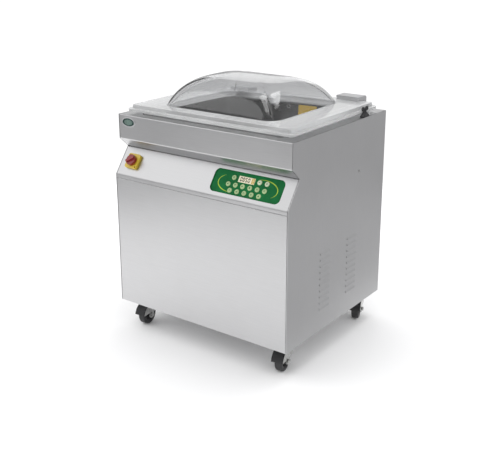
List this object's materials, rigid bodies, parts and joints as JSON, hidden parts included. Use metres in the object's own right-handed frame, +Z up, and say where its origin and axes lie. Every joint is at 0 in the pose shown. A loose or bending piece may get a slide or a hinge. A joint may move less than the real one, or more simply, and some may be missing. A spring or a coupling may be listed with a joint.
{
  "type": "vacuum packing machine",
  "caption": "Floor-standing stainless vacuum packing machine with a clear domed lid, sloping console and swivel casters.",
  "frame": {"origin": "floor under the middle of the machine's box", "axes": "+X right as seen from the front, +Y to the back, +Z up"},
  "size_m": [0.646, 0.561, 0.814],
  "materials": {
    "aluminium": "machined, satin",
    "black_plastic": "fine grain",
    "board_green": "solder resist",
    "brass": "satin",
    "brushed_steel": "satin, brushed",
    "chamber_steel": "satin",
    "clear_acrylic": "clear, polished",
    "copper_lacquer": "varnished",
    "cream_button": "satin",
    "display": "gloss",
    "green_keypad": "satin",
    "heat_tape": "coated glass cloth",
    "pump_paint": "hammered paint",
    "red_knob": "satin",
    "red_silicone": "soft, matt",
    "silicone": "soft, matt",
    "wheel_rubber": "matt",
    "yellow_plate": "satin",
    "zinc_steel": "bright zinc"
  },
  "bodies": {
    "cabinet": {"base_tray": "brushed_steel", "side_panel_left": "brushed_steel", "side_panel_right": "brushed_steel", "back_panel": "brushed_steel", "top_deck": "brushed_steel", "console_panel": "brushed_steel", "lower_front_panel": "brushed_steel", "chamber_tank": "chamber_steel", "vacuum_pump": "pump_paint", "pump_motor": "pump_paint", "vacuum_hose": "black_plastic", "solenoid_valve": "brass", "transformer": "copper_lacquer", "control_board": "board_green", "cord_gland": "black_plastic", "seal_cylinders": "aluminium", "suction_port": "black_plastic", "keypad_panel": "green_keypad", "lcd_window": "display", "switch_plate": "yellow_plate", "switch_body": "black_plastic", "hinge_brackets": "brushed_steel", "hinge_pins": "zinc_steel", "lid_springs": "zinc_steel", "clamp_foot": "black_plastic", "panel_screws": "zinc_steel", "lid_sensor": "black_plastic", "caster_plates": "zinc_steel"},
    "lid": {"lid": "clear_acrylic", "lid_gasket": "silicone", "counter_bar": "aluminium", "counter_pad": "red_silicone", "hinge_blocks": "aluminium"},
    "seal_bar": {"seal_bar": "aluminium", "seal_strip": "heat_tape", "seal_rods": "zinc_steel"},
    "switch_knob": {"switch_knob": "red_knob"},
    "clamp_wing": {"clamp_wing": "black_plastic"},
    "button_1": {"button_1": "cream_button"},
    "button_2": {"button_2": "cream_button"},
    "button_3": {"button_3": "cream_button"},
    "button_4": {"button_4": "cream_button"},
    "button_5": {"button_5": "cream_button"},
    "button_6": {"button_6": "cream_button"},
    "button_7": {"button_7": "cream_button"},
    "button_8": {"button_8": "cream_button"},
    "button_9": {"button_9": "cream_button"},
    "button_10": {"button_10": "cream_button"},
    "button_11": {"button_11": "cream_button"},
    "button_12": {"button_12": "cream_button"},
    "button_13": {"button_13": "cream_button"},
    "button_14": {"button_14": "cream_button"},
    "caster_front_right": {"caster_fork_front_right": "black_plastic"},
    "wheel_front_right": {"caster_wheel_front_right": "wheel_rubber"},
    "caster_front_left": {"caster_fork_front_left": "black_plastic"},
    "wheel_front_left": {"caster_wheel_front_left": "wheel_rubber"},
    "caster_rear_right": {"caster_fork_rear_right": "black_plastic"},
    "wheel_rear_right": {"caster_wheel_rear_right": "wheel_rubber"},
    "caster_rear_left": {"caster_fork_rear_left": "black_plastic"},
    "wheel_rear_left": {"caster_wheel_rear_left": "wheel_rubber"}
  },
  "joints": [
    {"name": "lid_hinge", "type": "hinge", "parent": "cabinet", "child": "lid", "pos_m": [0, 0.259, 0.717], "axis": [-1, 0, 0], "range_deg": [0, 55]},
    {"name": "seal_bar_lift", "type": "slide", "parent": "cabinet", "child": "seal_bar", "axis": [0, 0, 1], "range_m": [0, 0.0055]},
    {"name": "main_switch_turn", "type": "hinge", "parent": "cabinet", "child": "switch_knob", "pos_m": [-0.268, -0.25234, 0.55387], "axis": [0, -0.8099, 0.5866], "range_deg": [0, 90]},
    {"name": "clamp_turn", "type": "hinge", "parent": "cabinet", "child": "clamp_wing", "pos_m": [0.3115, 0.147, 0.7], "axis": [0, 0, 1], "range_deg": [0, 90]},
    {"name": "button_1_press", "type": "slide", "parent": "cabinet", "child": "button_1", "axis": [0, 0.8099, -0.5866], "range_m": [0, 0.0012], "stiffness_N_per_m": 300},
    {"name": "button_2_press", "type": "slide", "parent": "cabinet", "child": "button_2", "axis": [0, 0.8099, -0.5866], "range_m": [0, 0.0012], "stiffness_N_per_m": 300},
    {"name": "button_3_press", "type": "slide", "parent": "cabinet", "child": "button_3", "axis": [0, 0.8099, -0.5866], "range_m": [0, 0.0012], "stiffness_N_per_m": 300},
    {"name": "button_4_press", "type": "slide", "parent": "cabinet", "child": "button_4", "axis": [0, 0.8099, -0.5866], "range_m": [0, 0.0012], "stiffness_N_per_m": 300},
    {"name": "button_5_press", "type": "slide", "parent": "cabinet", "child": "button_5", "axis": [0, 0.8099, -0.5866], "range_m": [0, 0.0012], "stiffness_N_per_m": 300},
    {"name": "button_6_press", "type": "slide", "parent": "cabinet", "child": "button_6", "axis": [0, 0.8099, -0.5866], "range_m": [0, 0.0012], "stiffness_N_per_m": 300},
    {"name": "button_7_press", "type": "slide", "parent": "cabinet", "child": "button_7", "axis": [0, 0.8099, -0.5866], "range_m": [0, 0.0012], "stiffness_N_per_m": 300},
    {"name": "button_8_press", "type": "slide", "parent": "cabinet", "child": "button_8", "axis": [0, 0.8099, -0.5866], "range_m": [0, 0.0012], "stiffness_N_per_m": 300},
    {"name": "button_9_press", "type": "slide", "parent": "cabinet", "child": "button_9", "axis": [0, 0.8099, -0.5866], "range_m": [0, 0.0012], "stiffness_N_per_m": 300},
    {"name": "button_10_press", "type": "slide", "parent": "cabinet", "child": "button_10", "axis": [0, 0.8099, -0.5866], "range_m": [0, 0.0012], "stiffness_N_per_m": 300},
    {"name": "button_11_press", "type": "slide", "parent": "cabinet", "child": "button_11", "axis": [0, 0.8099, -0.5866], "range_m": [0, 0.0012], "stiffness_N_per_m": 300},
    {"name": "button_12_press", "type": "slide", "parent": "cabinet", "child": "button_12", "axis": [0, 0.8099, -0.5866], "range_m": [0, 0.0012], "stiffness_N_per_m": 300},
    {"name": "button_13_press", "type": "slide", "parent": "cabinet", "child": "button_13", "axis": [0, 0.8099, -0.5866], "range_m": [0, 0.0012], "stiffness_N_per_m": 300},
    {"name": "button_14_press", "type": "slide", "parent": "cabinet", "child": "button_14", "axis": [0, 0.8099, -0.5866], "range_m": [0, 0.0012], "stiffness_N_per_m": 300},
    {"name": "caster_swivel_front_right", "type": "hinge", "parent": "cabinet", "child": "caster_front_right", "pos_m": [0.266, -0.204, 0.09], "axis": [0, 0, 1], "continuous": true},
    {"name": "wheel_spin_front_right", "type": "hinge", "parent": "caster_front_right", "child": "wheel_front_right", "pos_m": [0.26947, -0.2237, 0.0325], "axis": [0.9848, 0.1736, 0], "continuous": true},
    {"name": "caster_swivel_front_left", "type": "hinge", "parent": "cabinet", "child": "caster_front_left", "pos_m": [-0.266, -0.204, 0.09], "axis": [0, 0, 1], "continuous": true},
    {"name": "wheel_spin_front_left", "type": "hinge", "parent": "caster_front_left", "child": "wheel_front_left", "pos_m": [-0.26426, -0.22392, 0.0325], "axis": [0.9962, 0.0872, 0], "continuous": true},
    {"name": "caster_swivel_rear_right", "type": "hinge", "parent": "cabinet", "child": "caster_rear_right", "pos_m": [0.266, 0.2325, 0.09], "axis": [0, 0, 1], "continuous": true},
    {"name": "wheel_spin_rear_right", "type": "hinge", "parent": "caster_rear_right", "child": "wheel_rear_right", "pos_m": [0.27284, 0.21371, 0.0325], "axis": [0.9397, 0.342, 0], "continuous": true},
    {"name": "caster_swivel_rear_left", "type": "hinge", "parent": "cabinet", "child": "caster_rear_left", "pos_m": [-0.266, 0.2325, 0.09], "axis": [0, 0, 1], "continuous": true},
    {"name": "wheel_spin_rear_left", "type": "hinge", "parent": "caster_rear_left", "child": "wheel_rear_left", "pos_m": [-0.24868, 0.2225, 0.0325], "axis": [0.5, 0.866, 0], "continuous": true}
  ]
}
